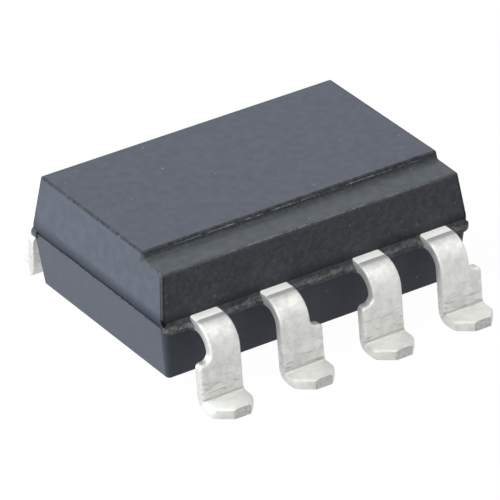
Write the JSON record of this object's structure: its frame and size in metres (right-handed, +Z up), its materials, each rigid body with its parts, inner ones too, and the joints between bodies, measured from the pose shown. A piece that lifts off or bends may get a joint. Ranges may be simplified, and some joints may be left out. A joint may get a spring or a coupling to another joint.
{
  "type": "surface-mount optocoupler",
  "caption": "Black moulded semiconductor package with a stepped edge, two optocoupler channels inside and gull-wing leads along both long sides.",
  "frame": {"origin": "centre of the bounding box's underside, on the plane that the feet stand on", "axes": "+Z up from the board, +X along the body from lead 1 towards lead 4, +Y from the lead row with the stepped edge to the other row"},
  "size_m": [0.0098, 0.0104, 0.0038],
  "materials": {
    "epoxy": "fine matte moulding compound, smoother below the leads",
    "tinned_copper": "satin matte tin plating",
    "clear_resin": "white translucent silicone-filled epoxy",
    "emitter_crystal": "polished semiconductor crystal",
    "silicon": "polished silicon",
    "silver_paste": "cured silver-filled adhesive",
    "gold": "drawn gold bond wire"
  },
  "bodies": {
    "root": {"body": "epoxy", "inner_mould_a": "clear_resin", "inner_mould_b": "clear_resin", "lead_1": "tinned_copper", "lead_2": "tinned_copper", "lead_3": "tinned_copper", "lead_4": "tinned_copper", "lead_5": "tinned_copper", "lead_6": "tinned_copper", "lead_7": "tinned_copper", "lead_8": "tinned_copper", "emitter_chip_a": "emitter_crystal", "emitter_chip_b": "emitter_crystal", "detector_chip_a": "silicon", "detector_chip_b": "silicon", "emitter_attach_a": "silver_paste", "emitter_attach_b": "silver_paste", "detector_attach_a": "silver_paste", "detector_attach_b": "silver_paste", "emitter_wire_a": "gold", "emitter_wire_b": "gold", "detector_wire_a": "gold", "detector_wire_b": "gold"}
  },
  "joints": []
}
